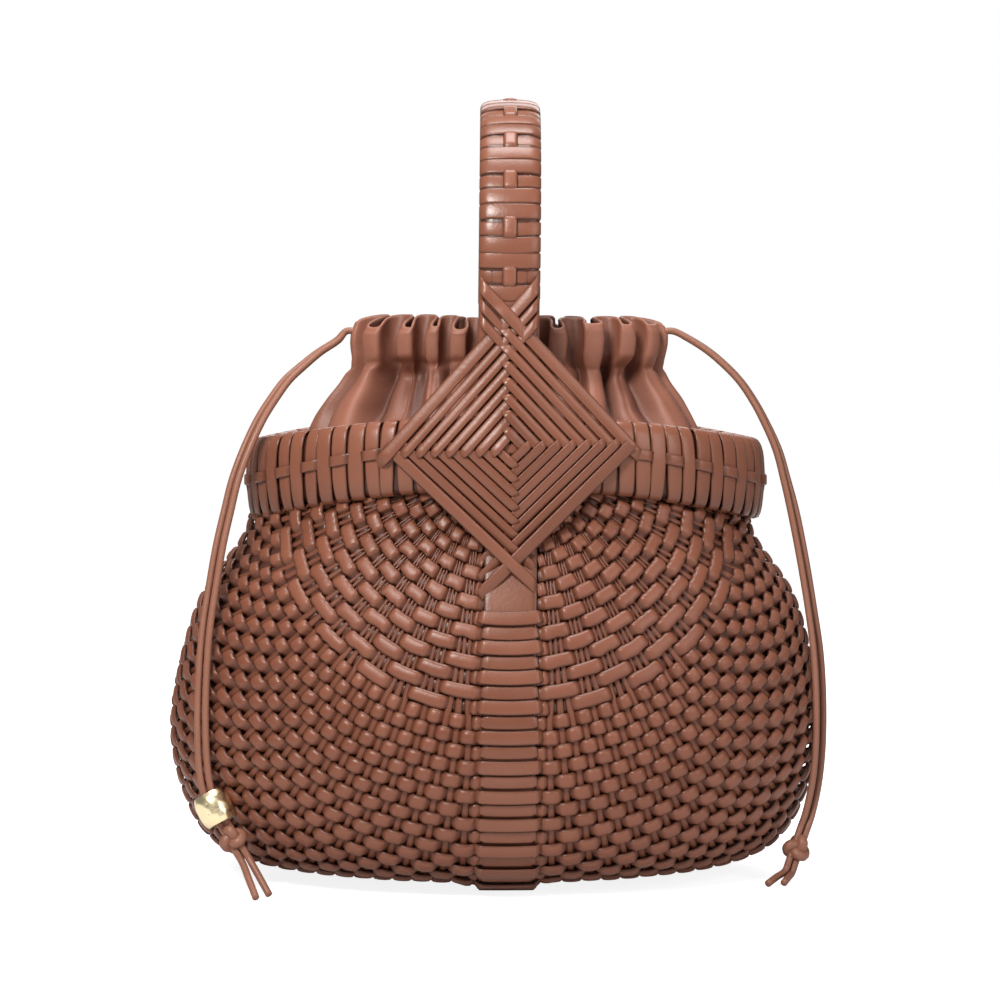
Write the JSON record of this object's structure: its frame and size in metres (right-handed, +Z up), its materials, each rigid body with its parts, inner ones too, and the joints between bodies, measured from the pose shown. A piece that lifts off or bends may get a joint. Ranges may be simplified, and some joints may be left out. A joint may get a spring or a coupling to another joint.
{
  "type": "leather basket bag",
  "caption": "Round-bellied woven leather basket with a wrapped rim, a hoop handle running on as the keel, lashed diamonds, a gathered pouch and drawcords.",
  "frame": {"origin": "middle of the base, on the floor that the bag stands on", "axes": "+Z up towards the top of the handle, the front faces -Y, the hoop of handle and keel lies in the YZ plane"},
  "size_m": [0.2815, 0.181, 0.3335],
  "materials": {
    "woven_leather": "smooth satin strips",
    "pouch_leather": "soft satin",
    "cord_leather": "soft matt cord",
    "gold_metal": "softly hammered, polished"
  },
  "bodies": {
    "root": {"basket_shell": "woven_leather", "rim_hoop": "woven_leather", "handle_hoop": "woven_leather", "keel_band": "woven_leather", "diamond_front": "woven_leather", "diamond_back": "woven_leather", "pouch": "pouch_leather", "drawcord_left_a": "cord_leather", "drawcord_left_b": "cord_leather", "drawcord_right_a": "cord_leather", "drawcord_right_b": "cord_leather", "knot_left": "cord_leather", "knot_right": "cord_leather", "cord_end_left_a": "cord_leather", "cord_end_left_b": "cord_leather", "cord_end_right_a": "cord_leather", "cord_end_right_b": "cord_leather", "bead": "gold_metal"}
  },
  "joints": []
}
